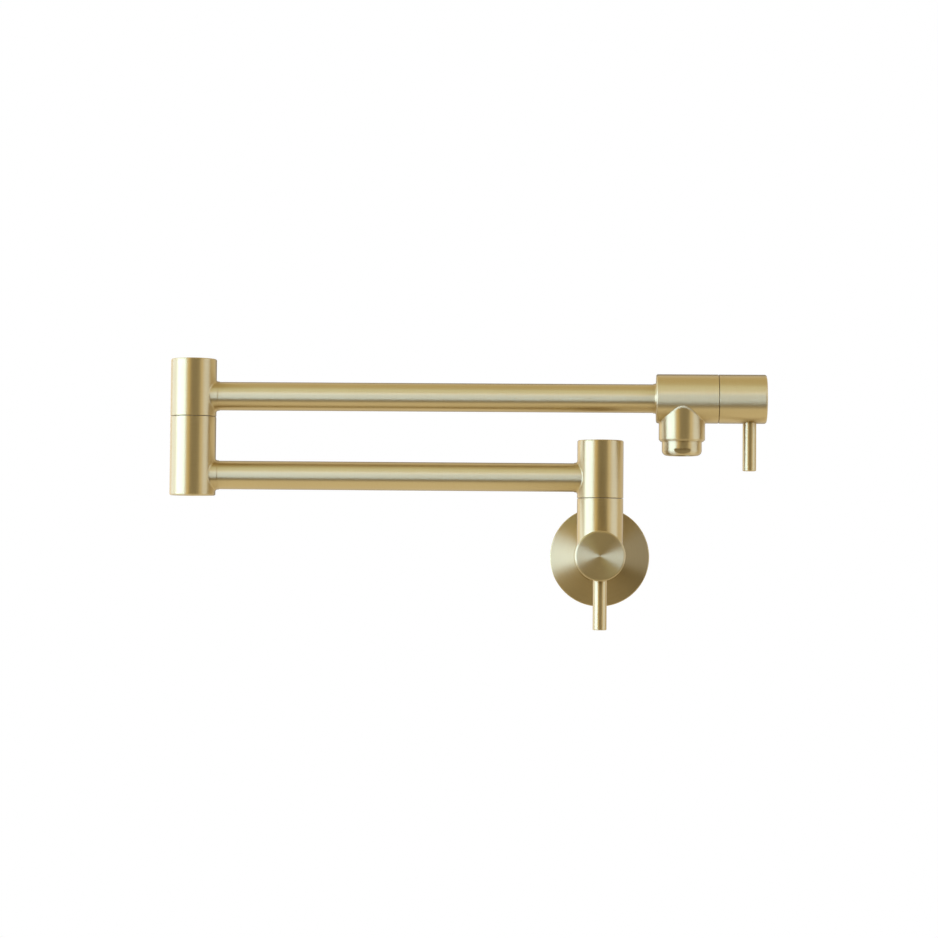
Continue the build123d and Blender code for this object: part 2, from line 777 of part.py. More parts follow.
for valve, place in ((base_valve, "base"), (spout_valve, "spout")):
    make_seat_seal(valve, f"{place}_seat_seal")
    make_fixed_disc(valve, f"{place}_fixed_disc")
    make_moving_disc(valve, f"{place}_moving_disc")
    make_cartridge(valve, f"{place}_cartridge")
    make_cartridge_ring(valve, f"{place}_cartridge_o_ring")
    make_bonnet_nut(valve, f"{place}_bonnet_nut")
    make_spindle(valve, f"{place}_spindle")
    make_spindle_ring(valve, f"{place}_spindle_o_ring")
    make_adapter(valve, f"{place}_handle_adapter")
    make_adapter_screw(valve, f"{place}_adapter_screw")
    make_handle(valve, f"{place}_handle")
    make_lever(valve, f"{place}_lever")
    make_handle_grub(valve, f"{place}_handle_grub_screw")

# ---- Wall end -----------------------------------------------------------------------------------------
grub_frame = across(wall, bracket_grub_at, (0, 0, -1))
with BuildPart() as wall_bracket:
    rod(wall, bracket_d / 2, 0, bracket_t)
    rod(wall, collar_r, 0, collar_height)
    rod(wall, tail_r + fit, 0, collar_height, mode=Mode.SUBTRACT)
    with Locations(wall.offset(bracket_t)):
        with PolarLocations(wall_screw_circle / 2, wall_screws, start_angle=90):
            CounterSinkHole(
                wall_screw_d / 2, wall_screw_head_d / 2, depth=bracket_t, counter_sink_angle=90
            )
    rod(grub_frame, bracket_grub_d / 2 + fit, 0, collar_r, mode=Mode.SUBTRACT)
save(wall_bracket.part, "wall_bracket")

with BuildPart() as bracket_grub_screw:
    rod(grub_frame, bracket_grub_d / 2, tail_r + fit, collar_r)
    key_socket(grub_frame, bracket_grub_key, collar_r - bracket_grub_key_depth, collar_r)
save(bracket_grub_screw.part, "bracket_grub_screw")

gasket_outer = rose_r - gasket_lip
gasket_inner = gasket_outer - gasket_w
rim_inner = gasket_inner - gasket_lip
bore_top = rose_height - rose_bore_length
with BuildPart() as wall_rose:
    turn(
        wall,
        (rose_bore, bore_top),
        (rose_bore, rose_height),
        (rose_mouth, rose_height),
        (rose_r, rim_top),
        (rose_r, rose_lift),
        (rim_inner, rose_lift),
        (rim_inner, rim_top + (rose_r - rim_inner) * rose_slope - rose_wall),
        (rose_r - (bore_top + rose_wall - rim_top) / rose_slope, bore_top),
    )
    fillet(outer_circles(wall_rose, wall)[-1], rose_edge)
    turn(
        wall,
        (gasket_inner - fit, 0),
        (gasket_outer + fit, 0),
        (gasket_outer + fit, gasket_t),
        (gasket_inner - fit, gasket_t),
        mode=Mode.SUBTRACT,
    )
    ring_half = rose_ring * groove_width / 2
    turn(
        wall,
        (valve_r, rose_ring_at - ring_half),
        (valve_r + rose_ring + 2 * fit, rose_ring_at - ring_half),
        (valve_r + rose_ring + 2 * fit, rose_ring_at + ring_half),
        (valve_r, rose_ring_at + ring_half),
        mode=Mode.SUBTRACT,
    )
save(wall_rose.part, "wall_rose")

with BuildPart() as rose_gasket:
    rod(wall, gasket_outer, 0, gasket_t)
    rod(wall, gasket_inner, 0, gasket_t, mode=Mode.SUBTRACT)
save(rose_gasket.part, "rose_gasket")

with BuildPart() as rose_o_ring:
    add_ring(wall, valve_r + rose_ring + fit, rose_ring_at, rose_ring)
save(rose_o_ring.part, "rose_o_ring")

# ---- Aerator ------------------------------------------------------------------------------------------
with BuildPart() as aerator_housing:
    rod(spout_axis, aerator_r, spout_drop, aerator_end)
    fillet(outer_circles(aerator_housing, spout_axis)[-1], aerator_edge)
    with BuildSketch(spout_axis.offset(aerator_end - flats_height)) as flats:
        Rectangle(2 * aerator_d, 2 * aerator_d)
        Rectangle(2 * aerator_d, aerator_flats, mode=Mode.SUBTRACT)
    extrude(flats.sketch, amount=flats_height, mode=Mode.SUBTRACT)
    rod(spout_axis, thread_r, insert_top, spout_drop)
    rod(spout_axis, insert_r + fit, insert_top, insert_end, mode=Mode.SUBTRACT)
    rod(spout_axis, insert_r - aerator_lip, insert_end, aerator_end, mode=Mode.SUBTRACT)
save(aerator_housing.part, "aerator_housing")

with BuildPart() as aerator_insert:
    rod(spout_axis, insert_r, insert_top, insert_end)
    cup_r = insert_r - insert_wall
    rod(spout_axis, cup_r, insert_top, insert_end - comb_t, mode=Mode.SUBTRACT)
    with BuildSketch(spout_axis.offset(insert_end - comb_t)) as comb:
        comb_r = insert_r - aerator_lip - insert_wall
        with HexLocations((comb_cell + comb_wall) / 3**0.5, comb_rows, comb_rows):
            RegularPolygon(comb_cell / 3**0.5, 6, rotation=30)
        Circle(comb_r, mode=Mode.INTERSECT)
    extrude(comb.sketch, amount=comb_t, mode=Mode.SUBTRACT)
save(aerator_insert.part, "aerator_insert")

with BuildPart() as aerator_jet_plate:
    plate_top = insert_end - comb_t - jet_plate_t
    rod(spout_axis, cup_r - fit, plate_top, plate_top + jet_plate_t)
    with BuildSketch(spout_axis.offset(plate_top)) as holes:
        with PolarLocations(jet_circle / 2, jets):
            Circle(jet_d / 2)
    extrude(holes.sketch, amount=jet_plate_t, mode=Mode.SUBTRACT)
save(aerator_jet_plate.part, "aerator_jet_plate")

with BuildPart() as aerator_washer:
    rod(spout_axis, thread_r - fit, washer_seat, insert_top)
    rod(spout_axis, thread_r - washer_w, washer_seat, insert_top, mode=Mode.SUBTRACT)
save(aerator_washer.part, "aerator_washer")
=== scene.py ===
"""A folding wall-mounted pot filler, finished and lit around its fixed CAD frame."""

import json
import math

import bmesh
import bpy
from mathutils import Matrix, Vector


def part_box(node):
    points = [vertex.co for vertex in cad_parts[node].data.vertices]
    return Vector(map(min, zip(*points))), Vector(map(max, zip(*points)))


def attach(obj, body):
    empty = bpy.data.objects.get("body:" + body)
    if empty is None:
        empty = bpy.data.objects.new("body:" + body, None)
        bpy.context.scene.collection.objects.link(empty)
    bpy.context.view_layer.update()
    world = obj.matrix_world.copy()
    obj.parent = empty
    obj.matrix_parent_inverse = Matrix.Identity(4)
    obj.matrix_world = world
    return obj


bl_info = {
    "name": "Pot filler",
    "version": (1, 0, 0),
    "blender": (4, 5, 0),
    "location": "3D View > Sidebar > Pot filler",
    "description": "Finishes a folding wall-mounted pot filler and stands it in a plain studio",
    "category": "Object",
}

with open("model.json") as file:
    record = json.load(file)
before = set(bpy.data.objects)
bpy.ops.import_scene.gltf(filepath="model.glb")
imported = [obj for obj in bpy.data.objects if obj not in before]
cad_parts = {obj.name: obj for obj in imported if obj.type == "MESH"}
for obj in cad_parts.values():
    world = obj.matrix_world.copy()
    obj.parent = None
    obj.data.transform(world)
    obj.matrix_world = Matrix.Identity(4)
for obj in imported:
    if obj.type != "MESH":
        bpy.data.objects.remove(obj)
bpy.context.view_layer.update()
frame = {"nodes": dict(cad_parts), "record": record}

MM = 0.001


def mm(*lengths):
    """Lengths in millimetres as a vector in metres."""
    return Vector(lengths) * MM


def linear(hex_colour):
    """An sRGB colour such as "#C0A868" as linear red, green, blue and alpha."""
    parts = [int(hex_colour[i : i + 2], 16) / 255 for i in (1, 3, 5)]
    return [c / 12.92 if c <= 0.04045 else ((c + 0.055) / 1.055) ** 2.4 for c in parts] + [1.0]


# ---- Where the turned pieces have their axes ----------------------------------------------------------
# Along the wall, out of the wall and upright.
ACROSS, OUT, UP = Vector((1, 0, 0)), Vector((0, 1, 0)), Vector((0, 0, 1))


def centre(node):
    """The middle of a CAD node's box."""
    low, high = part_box(node)
    return (low + high) / 2


def radius(node, axis):
    """Half of a CAD node's smaller width across this axis."""
    low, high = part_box(node)
    return min(h - l for h, l, a in zip(high, low, axis) if not a) / 2


# ---- Settings that a user would change ----------------------------------------------------------------
def colour_setting(name, description, hex_colour):
    """A colour in the sidebar, from its sRGB value."""
    return bpy.props.FloatVectorProperty(
        name=name,
        description=description,
        subtype="COLOR",
        size=4,
        min=0,
        max=1,
        default=linear(hex_colour),
    )


def length_setting(name, description, shortest, longest, default):
    """A length in the sidebar, with its limits and default in millimetres."""
    return bpy.props.FloatProperty(
        name=name,
        description=description,
        unit="LENGTH",
        min=shortest * MM,
        max=longest * MM,
        default=default * MM,
    )


class PotFillerFinish(bpy.types.PropertyGroup):
    """Colours and grain of the finishes."""

    gold: colour_setting("Gold", "Colour of the satin gold coating", "#C8AF77")
    gold_deep: colour_setting("Gold in the grain", "Deeper gold between the brushed lines", "#C1A66D")
    grain: length_setting("Grain spacing", "Distance between the brushed lines that show", 0.1, 5, 0.7)
    brass: colour_setting("Bare brass", "Colour of the machined brass inside", "#CDB06A")
    steel: colour_setting("Steel", "Colour of the stainless steel", "#B9B6B0")
    rubber: colour_setting("Rubber", "Colour of the seals and the gasket", "#232323")
    ceramic: colour_setting("Ceramic", "Colour of the valve discs", "#E9E6DD")
    acetal: colour_setting("Slip rings", "Colour of the plastic rings that the hubs turn on", "#E4E2DA")
    moulding: colour_setting("Aerator plastic", "Colour of the aerator's moulded insert", "#C9CBC8")


class PotFillerSizes(bpy.types.PropertyGroup):
    """Sizes of what is modelled here and not in the CAD."""

    thread_pitch: length_setting("Thread pitch", "Pitch of the inlet's half-inch pipe thread", 0.5, 5, 1.814)
    thread_height: length_setting("Thread height", "How far the ridge stands into the inlet", 0.1, 1, 0.24)


class PotFillerStudio(bpy.types.PropertyGroup):
    """Floor, windows and camera."""

    floor_drop: length_setting("Floor", "How far the floor is below the inlet", 100, 2000, 700)
    window: bpy.props.FloatProperty(
        name="Left window",
        description="Brightness of the large window on the left, where 1 is white",
        min=0,
        max=40,
        default=12.6,
    )
    side: bpy.props.FloatProperty(
        name="Right window",
        description="Brightness of the window on the right, where 1 is white",
        min=0,
        max=20,
        default=3.7,
    )
    focal: bpy.props.FloatProperty(
        name="Focal length",
        description="Camera lens on a 36 mm wide sensor",
        subtype="DISTANCE_CAMERA",
        min=20,
        max=300,
        default=97.58,
    )


# ---- Nodes and materials --------------------------------------------------------------------------------
QUARTER_TURN = 0.25  # turns a metal's stretched reflections from along its grooves to across them
BRUSHED_STREAKS = 2.5  # a brushed line fades about 16 times on its way round, 2 pi times this number
TURNED_STREAKS = 1.0  # a lathe's tool mark lasts longer
DULLER = 0.1  # how much rougher the dullest spots of a plain finish are than its smoothest ones


def add(tree, kind, inputs=(), **settings):
    """Adds a node with these settings, and fills its sockets with values or with other nodes' outputs."""
    node = tree.nodes.new(kind)
    for name, value in settings.items():
        setattr(node, name, value)
    for socket, value in dict(inputs).items():
        if isinstance(value, bpy.types.NodeSocket):
            tree.links.new(value, node.inputs[socket])
        else:
            node.inputs[socket].default_value = value
    return node


def new_material(name):
    """An empty material and its node tree."""
    material = bpy.data.materials.new(name)
    material.use_nodes = True
    material.node_tree.nodes.clear()
    return material, material.node_tree


def finish_grooved_metal(tree, tone, roughness, anisotropy, groove, relief):
    """Ends a material as metal whose grooves draw each light out into a band along the piece's axis."""
    shader = add(
        tree,
        "ShaderNodeBsdfPrincipled",
        {
            "Base Color": tone,
            "Metallic": 1.0,
            "Roughness": roughness,
            "Anisotropic": anisotropy,
            "Anisotropic Rotation": QUARTER_TURN,
            "Tangent": groove,
            "Normal": relief,
        },
    )
    add(tree, "ShaderNodeOutputMaterial", {"Surface": shader.outputs[0]})


def coat_nodes(material, *names):
    """Gives CAD nodes this material in all their slots."""
    for name in names:
        mesh = frame["nodes"][name].data
        for i in range(len(mesh.materials)):
            mesh.materials[i] = material


def lathe_group():
    """The grooves that a lathe or a belt leaves on a piece that turned about an axis.

    Groove is their direction. Lines is a place that changes fast across them and slowly along them,
    and Ring adds the distance from the axis, for a turned face. Radius is that distance in metres.
    """
    group = bpy.data.node_groups.new("Lathe grooves", "ShaderNodeTree")
    for name, kind in (("Centre", "Vector"), ("Axis", "Vector"), ("Spacing", "Float"), ("Streaks", "Float")):
        group.interface.new_socket(name, in_out="INPUT", socket_type="NodeSocket" + kind)
    for name, kind in (("Groove", "Vector"), ("Lines", "Vector"), ("Ring", "Float"), ("Radius", "Float")):
        group.interface.new_socket(name, in_out="OUTPUT", socket_type="NodeSocket" + kind)
    given = add(group, "NodeGroupInput").outputs
    axis, spacing = given["Axis"], given["Spacing"]
    place = add(group, "ShaderNodeTexCoord").outputs["Object"]
    arm = add(group, "ShaderNodeVectorMath", {0: place, 1: given["Centre"]}, operation="SUBTRACT").outputs[0]
    height = add(group, "ShaderNodeVectorMath", {0: arm, 1: axis}, operation="DOT_PRODUCT").outputs["Value"]
    lift = add(group, "ShaderNodeVectorMath", {0: axis, "Scale": height}, operation="SCALE").outputs[0]
    spoke = add(group, "ShaderNodeVectorMath", {0: arm, 1: lift}, operation="SUBTRACT").outputs[0]
    reach = add(group, "ShaderNodeVectorMath", {0: spoke}, operation="LENGTH").outputs["Value"]
    outward = add(group, "ShaderNodeVectorMath", {0: spoke}, operation="NORMALIZE").outputs[0]
    groove = add(group, "ShaderNodeVectorMath", {0: axis, 1: outward}, operation="CROSS_PRODUCT").outputs[0]
    turned = add(
        group,
        "ShaderNodeVectorTransform",
        {0: groove},
        vector_type="VECTOR",
        convert_from="OBJECT",
        convert_to="WORLD",
    ).outputs[0]
    along = add(
        group, "ShaderNodeVectorMath", {0: outward, "Scale": given["Streaks"]}, operation="SCALE"
    ).outputs[0]
    steps = add(group, "ShaderNodeMath", {0: height, 1: spacing}, operation="DIVIDE").outputs[0]
    rise = add(group, "ShaderNodeVectorMath", {0: axis, "Scale": steps}, operation="SCALE").outputs[0]
    lines = add(group, "ShaderNodeVectorMath", {0: along, 1: rise}, operation="ADD").outputs[0]
    ring = add(group, "ShaderNodeMath", {0: reach, 1: spacing}, operation="DIVIDE").outputs[0]
    add(group, "NodeGroupOutput", {"Groove": turned, "Lines": lines, "Ring": ring, "Radius": reach})
    return group


def grooves(tree, turning, spacing, streaks):
    """The lathe grooves about one axis, given as its centre and direction."""
    group = bpy.data.node_groups.get("Lathe grooves") or lathe_group()
    middle, axis = turning
    return add(
        tree,
        "ShaderNodeGroup",
        {"Centre": middle, "Axis": axis, "Spacing": spacing, "Streaks": streaks},
        node_tree=group,
    ).outputs


def satin_gold(name, turning, second=None, second_radius=0.0):
    """Brass with a thin gold-coloured vapour coating over a fine belt-brushed grain.

    The grain runs round each turned piece, so a light is drawn out along its axis into long soft bands
    with crisp sides, and a turned face shows the two bright sectors of a spun disc. The real lines
    are 0.05 to 0.1 mm apart, too fine to show here, so they are drawn 0.7 mm apart and very shallow.
    Where a piece was turned about two axes, the second one holds within its own radius.
    """
    smoothest, roughest, anisotropy = 0.40, 0.46, 0.95
    line_depth = 0.002 * MM
    patch_size, patch_dulls = 30 * MM, 0.04
    look = bpy.context.scene.pot_filler_finish
    material, tree = new_material(name)
    turned = grooves(tree, turning, look.grain, BRUSHED_STREAKS)
    groove, lines, ring = turned["Groove"], turned["Lines"], turned["Ring"]
    if second:
        other = grooves(tree, second, look.grain, BRUSHED_STREAKS)
        inside = add(
            tree, "ShaderNodeMath", {0: other["Radius"], 1: second_radius}, operation="LESS_THAN"
        ).outputs[0]
        groove, lines = (
            add(tree, "ShaderNodeMix", {"Factor": inside, 4: a, 5: b}, data_type="VECTOR").outputs[1]
            for a, b in ((groove, other["Groove"]), (lines, other["Lines"]))
        )
        ring = add(tree, "ShaderNodeMix", {"Factor": inside, 2: ring, 3: other["Ring"]}).outputs[0]
    brushing = add(
        tree,
        "ShaderNodeTexNoise",
        {"Vector": lines, "W": ring, "Scale": 1.0, "Detail": 2.0, "Roughness": 0.6},
        noise_dimensions="4D",
    ).outputs[0]
    tone = add(
        tree, "ShaderNodeMix", {"Factor": brushing, 6: look.gold_deep, 7: look.gold}, data_type="RGBA"
    ).outputs[2]
    # Handling leaves soft patches, a touch duller than the rest.
    place = add(tree, "ShaderNodeTexCoord").outputs["Object"]
    patches = add(
        tree, "ShaderNodeTexNoise", {"Vector": place, "Scale": 1 / patch_size, "Detail": 1.0}
    ).outputs[0]
    fine = add(tree, "ShaderNodeMapRange", {0: brushing, 3: smoothest, 4: roughest}).outputs[0]
    rough = add(
        tree, "ShaderNodeMath", {0: patches, 1: patch_dulls, 2: fine}, operation="MULTIPLY_ADD"
    ).outputs[0]
    relief = add(
        tree, "ShaderNodeBump", {"Height": brushing, "Distance": line_depth, "Strength": 1.0}
    ).outputs[0]
    finish_grooved_metal(tree, tone, rough, anisotropy, groove, relief)
    return material


def plain_metal(name, colour, turning, roughness, anisotropy, spacing):
    """Metal straight from the lathe, uncoated: clear tool marks round the axis and a brighter gloss."""
    mark_depth, mark_shade = 0.004 * MM, 0.86
    material, tree = new_material(name)
    turned = grooves(tree, turning, spacing, TURNED_STREAKS)
    marks = add(
        tree,
        "ShaderNodeTexNoise",
        {"Vector": turned["Lines"], "W": turned["Ring"], "Scale": 1.0, "Detail": 1.0},
        noise_dimensions="4D",
    ).outputs[0]
    darker = [c * mark_shade for c in colour[:3]] + [1.0]
    tone = add(tree, "ShaderNodeMix", {"Factor": marks, 6: darker, 7: colour}, data_type="RGBA").outputs[2]
    rough = add(tree, "ShaderNodeMapRange", {0: marks, 3: roughness, 4: roughness + DULLER}).outputs[0]
    relief = add(
        tree, "ShaderNodeBump", {"Height": marks, "Distance": mark_depth, "Strength": 1.0}
    ).outputs[0]
    finish_grooved_metal(tree, tone, rough, anisotropy, turned["Groove"], relief)
    return material


def moulded(name, colour, ior, roughness, grain_mm, depth_mm):
    """Rubber, plastic or lapped ceramic: a plain colour with the fine even texture of its mould or lap."""
    hollow_shade = 0.9
    material, tree = new_material(name)
    place = add(tree, "ShaderNodeTexCoord").outputs["Object"]
    skin = add(
        tree, "ShaderNodeTexNoise", {"Vector": place, "Scale": 1 / (grain_mm * MM), "Detail": 2.0}
    ).outputs[0]
    darker = [c * hollow_shade for c in colour[:3]] + [1.0]
    tone = add(tree, "ShaderNodeMix", {"Factor": skin, 6: darker, 7: colour}, data_type="RGBA").outputs[2]
    rough = add(tree, "ShaderNodeMapRange", {0: skin, 3: roughness, 4: roughness + DULLER}).outputs[0]
    relief = add(
        tree, "ShaderNodeBump", {"Height": skin, "Distance": depth_mm * MM, "Strength": 1.0}
    ).outputs[0]
    shader = add(
        tree,
        "ShaderNodeBsdfPrincipled",
        {"Base Color": tone, "Roughness": rough, "IOR": ior, "Normal": relief},
    )
    add(tree, "ShaderNodeOutputMaterial", {"Surface": shader.outputs[0]})
    return material


def shared(make, name, finish, **settings):
    """The material of this name in one of the finish settings' colours, made once."""
    colour = list(getattr(bpy.context.scene.pot_filler_finish, finish))
    return bpy.data.materials.get(name) or make(name, colour, **settings)


def black_rubber():
    """EPDM rubber, moulded: almost black, dull, with a faint sheen."""
    return shared(moulded, "EPDM rubber", "rubber", ior=1.5, roughness=0.6, grain_mm=0.4, depth_mm=0.01)


def alumina():
    """Alumina ceramic, lapped flat: warm white, smooth and slightly glossy."""
    return shared(moulded, "Lapped alumina", "ceramic", ior=1.76, roughness=0.2, grain_mm=0.3, depth_mm=0.001)


def acetal():
    """White acetal, turned from rod: waxy and low in contrast."""
    return shared(moulded, "White acetal", "acetal", ior=1.48, roughness=0.4, grain_mm=0.5, depth_mm=0.004)


def aerator_plastic():
    """Injection-moulded polypropylene: pale grey, smooth and a little waxy."""
    name = "Moulded polypropylene"
    return shared(moulded, name, "moulding", ior=1.49, roughness=0.35, grain_mm=0.5, depth_mm=0.003)


def bare_brass(name, turning):
    """Free-cutting brass, turned: yellow and bright.

    Its feed marks are 0.2 mm apart and are drawn 0.5 mm apart, so that they show.
    """
    return shared(
        plain_metal, name, "brass", turning=turning, roughness=0.3, anisotropy=0.6, spacing=0.5 * MM
    )


def stainless(name, turning):
    """Stainless steel, turned and tumbled: neutral grey with a soft brushed gloss.

    Its marks are drawn as wide apart as the brass has them, for the same reason.
    """
    return shared(
        plain_metal, name, "steel", turning=turning, roughness=0.34, anisotropy=0.6, spacing=0.5 * MM
    )


# ---- The pieces -----------------------------------------------------------------------------------------
PAST_SKIN = 0.1 * MM  # a column's grain holds this far past its skin
PAST_BARREL_SKIN = 0.5 * MM  # and a barrel's grain this far, so that it takes in the start of its fillet


def in_words(node):
    """A CAD node's name in plain words."""
    return node.replace("_", " ")


class PotFillerColumns(bpy.types.Operator):
    """Brushes the two swivel columns round their upright axes"""

    bl_idname = "pot_filler.columns"
    bl_label = "Columns"

    def execute(self, context):
        column = {place: (centre(f"{place}_hub_cap"), UP) for place in ("base", "elbow")}
        for place, turning in column.items():
            coat_nodes(satin_gold(f"Satin gold, {place} cap", turning), f"{place}_hub_cap")
        for place, hub, tube in (
            ("base", "base_hub", "inner_tube"),
            ("elbow", "elbow_hub", "outer_tube"),
            ("elbow", "elbow_foot_hub", "inner_tube"),
        ):
            # The tube's collar takes the tube's grain, and the column has its own out to its skin.
            collar = (centre(tube), ACROSS)
            skin = radius(hub, UP) + PAST_SKIN
            coat_nodes(satin_gold(f"Satin gold, {in_words(hub)}", collar, column[place], skin), hub)
        return {"FINISHED"}


class PotFillerTubes(bpy.types.Operator):
    """Brushes the two tubes round their length"""

    bl_idname = "pot_filler.tubes"
    bl_label = "Tubes"

    def execute(self, context):
        for tube in ("inner_tube", "outer_tube"):
            coat_nodes(satin_gold(f"Satin gold, {in_words(tube)}", (centre(tube), ACROSS)), tube)
        return {"FINISHED"}


class PotFillerBodies(bpy.types.Operator):
    """Brushes the two valve bodies, each turned about its valve and about its branch"""

    bl_idname = "pot_filler.bodies"
    bl_label = "Valve bodies"

    def execute(self, context):
        for body, branch, valve, out in (
            ("valve_body", "base_hub_cap", "base_handle", OUT),
            ("spout_body", "aerator_housing", "spout_handle", ACROSS),
        ):
            # The barrel is as wide as its handle and has its own grain, and the branch takes an upright one.
            upright, barrel = (centre(branch), UP), (centre(valve), out)
            skin = radius(valve, out) + PAST_BARREL_SKIN
            coat_nodes(satin_gold(f"Satin gold, {in_words(body)}", upright, barrel, skin), body)
        return {"FINISHED"}


class PotFillerHandles(bpy.types.Operator):
    """Brushes the round handles, with their spun faces, and the pin levers"""

    bl_idname = "pot_filler.handles"
    bl_label = "Handles and levers"

    def execute(self, context):
        for place, out in (("base", OUT), ("spout", ACROSS)):
            for node, axis in ((f"{place}_handle", out), (f"{place}_lever", UP)):
                coat_nodes(satin_gold(f"Satin gold, {in_words(node)}", (centre(node), axis)), node)
        return {"FINISHED"}


class PotFillerRose(bpy.types.Operator):
    """Brushes the wall rose in rings"""

    bl_idname = "pot_filler.rose"
    bl_label = "Wall rose"

    def execute(self, context):
        coat_nodes(satin_gold("Satin gold, wall rose", (centre("wall_rose"), OUT)), "wall_rose")
        coat_nodes(black_rubber(), "rose_gasket", "rose_o_ring")
        return {"FINISHED"}


class PotFillerAerator(bpy.types.Operator):
    """Finishes the aerator's housing, its moulded insert and its washer"""

    bl_idname = "pot_filler.aerator"
    bl_label = "Aerator"

    def execute(self, context):
        coat_nodes(satin_gold("Satin gold, aerator", (centre("aerator_housing"), UP)), "aerator_housing")
        coat_nodes(aerator_plastic(), "aerator_insert", "aerator_jet_plate")
        coat_nodes(black_rubber(), "aerator_washer")
        return {"FINISHED"}


class PotFillerWallEnd(bpy.types.Operator):
    """Finishes the wall bracket and cuts the pipe thread in the inlet"""

    bl_idname = "pot_filler.wall_end"
    bl_label = "Wall bracket and inlet"

    def execute(self, context):
        bracket = stainless("Stainless steel, wall bracket", (centre("wall_bracket"), OUT))
        coat_nodes(bracket, "wall_bracket", "bracket_grub_screw")
        sizes = context.scene.pot_filler_sizes
        inlet = next(m for m in frame["record"]["mounts"] if m["name"] == "inlet")
        middle = Vector(inlet["pos_m"])
        bore = inlet["dims"]["r_mm"] * MM
        length = inlet["dims"]["length_mm"] * MM
        thread = thread_mesh("inlet_thread", middle, bore, length, sizes.thread_pitch, sizes.thread_height)
        thread.data.materials.append(bare_brass("Bare brass, inlet", (middle, OUT)))
        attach(thread, "base")
        return {"FINISHED"}


def thread_mesh(name, middle, bore, length, pitch, height):
    """A helical ridge on the inside of a bore along Y, tapering to nothing at both ends."""
    steps_per_turn = 64
    sunk = 0.05 * MM  # the ridge's foot lies this deep in the bore's wall
    foot, crest = 0.42, 0.1  # half the ridge's width at its foot and at its crest, in pitches
    taper = 0.5  # each end runs out over this many turns
    turns = (length - pitch) / pitch
    count = int(turns * steps_per_turn)
    mesh = bmesh.new()
    rows = []
    for i in range(count + 1):
        angle = 2 * math.pi * i / steps_per_turn
        across, up = math.cos(angle), math.sin(angle)
        y = middle.y - length / 2 + pitch / 2 + pitch * i / steps_per_turn
        run_out = min(1.0, i / steps_per_turn / taper, (count - i) / steps_per_turn / taper)
        inside = bore - height * run_out
        outline = ((bore + sunk, -foot), (inside, -crest), (inside, crest), (bore + sunk, foot))
        rows.append(
            [
                mesh.verts.new((middle.x + r * across, y + along * pitch, middle.z + r * up))
                for r, along in outline
            ]
        )
    corners = len(rows[0])
    for row, following in zip(rows, rows[1:]):
        for j in range(corners):
            k = (j + 1) % corners
            mesh.faces.new((row[j], row[k], following[k], following[j]))
    for end in (rows[0], rows[-1][::-1]):
        mesh.faces.new(end)
    bmesh.ops.recalc_face_normals(mesh, faces=mesh.faces)
    data = bpy.data.meshes.new(name)
    mesh.to_mesh(data)
    mesh.free()
    piece = bpy.data.objects.new(name, data)
    bpy.context.scene.collection.objects.link(piece)
    return piece


class PotFillerSwivels(bpy.types.Operator):
    """Finishes what is inside the two swivels"""

    bl_idname = "pot_filler.swivels"
    bl_label = "Swivels"

    def execute(self, context):
        for place in ("base", "elbow"):
            turning = (centre(f"{place}_hub_cap"), UP)
            coat_nodes(bare_brass(f"Bare brass, {place} spigot", turning), f"{place}_spigot")
            steel = stainless(f"Stainless steel, {place} retainer", turning)
            coat_nodes(steel, f"{place}_retainer_washer", f"{place}_retainer_screw")
            coat_nodes(black_rubber(), f"{place}_swivel_o_rings")
            coat_nodes(acetal(), f"{place}_slip_ring")
        return {"FINISHED"}


class PotFillerCartridges(bpy.types.Operator):
    """Finishes what is inside the two valves"""

    bl_idname = "pot_filler.cartridges"
    bl_label = "Cartridges"

    def execute(self, context):
        for place, out in (("base", OUT), ("spout", ACROSS)):
            turning = (centre(f"{place}_handle"), out)
            for material, parts in (
                (
                    bare_brass(f"Bare brass, {place} valve", turning),
                    ("cartridge", "bonnet_nut", "spindle", "handle_adapter"),
                ),
                (
                    stainless(f"Stainless steel, {place} screws", turning),
                    ("adapter_screw", "handle_grub_screw"),
                ),
                (alumina(), ("fixed_disc", "moving_disc")),
                (black_rubber(), ("seat_seal", "cartridge_o_ring", "spindle_o_ring")),
            ):
                coat_nodes(material, *(f"{place}_{part}" for part in parts))
        return {"FINISHED"}


# ---- The studio -----------------------------------------------------------------------------------------
# The middle of the object, at which every panel and lamp is aimed.
SUBJECT = mm(-85, -50, 40)

# Distances of the panels from it, in metres.
FAR, NEAR, NEAREST = 2.6, 2.3, 2.0

# Edges of the floor, and of what lies in front of it and over it, in metres from the wall's face. The
# object is towards minus Y.
FLOOR_FRONT, FLOOR_BACK, FLOOR_WIDTH = -0.765, 1.7, 4.0
WORKTOP_BACK, EDGE_FRONT, EDGE_WIDTH = 0.665, -1.689, 4.4

# The photograph's camera: its place, and its turn, tilt and roll in degrees. They were worked out
# from the edges that the photograph shows, together with the main sizes.
CAMERA_PLACE = mm(-6.98, -1650, -8.33)
CAMERA_TURN, CAMERA_TILT, CAMERA_ROLL = -2.710, 2.243, 0.519
SENSOR_WIDTH_MM = 36.0


def towards(azimuth, elevation):
    """A direction seen from the object: azimuth 0 is the front and 90 is the right, in degrees."""
    a, e = math.radians(azimuth), math.radians(elevation)
    return Vector((math.sin(a) * math.cos(e), -math.cos(a) * math.cos(e), math.sin(e)))


def aim(piece, direction, distance, width, height):
    """Puts a panel or lamp of unit size in that direction, facing the object, and scales it."""
    way = towards(*direction)
    facing = (-way).to_track_quat("-Z", "Y").to_matrix().to_4x4()
    piece.matrix_world = Matrix.Translation(SUBJECT + way * distance) @ facing
    piece.matrix_world = piece.matrix_world @ Matrix.Diagonal((width, height, 1, 1))


def panel_size(distance, half_angle):
    """Width of a panel at that distance that fills twice this angle, in degrees."""
    return 2 * distance * math.tan(math.radians(half_angle))


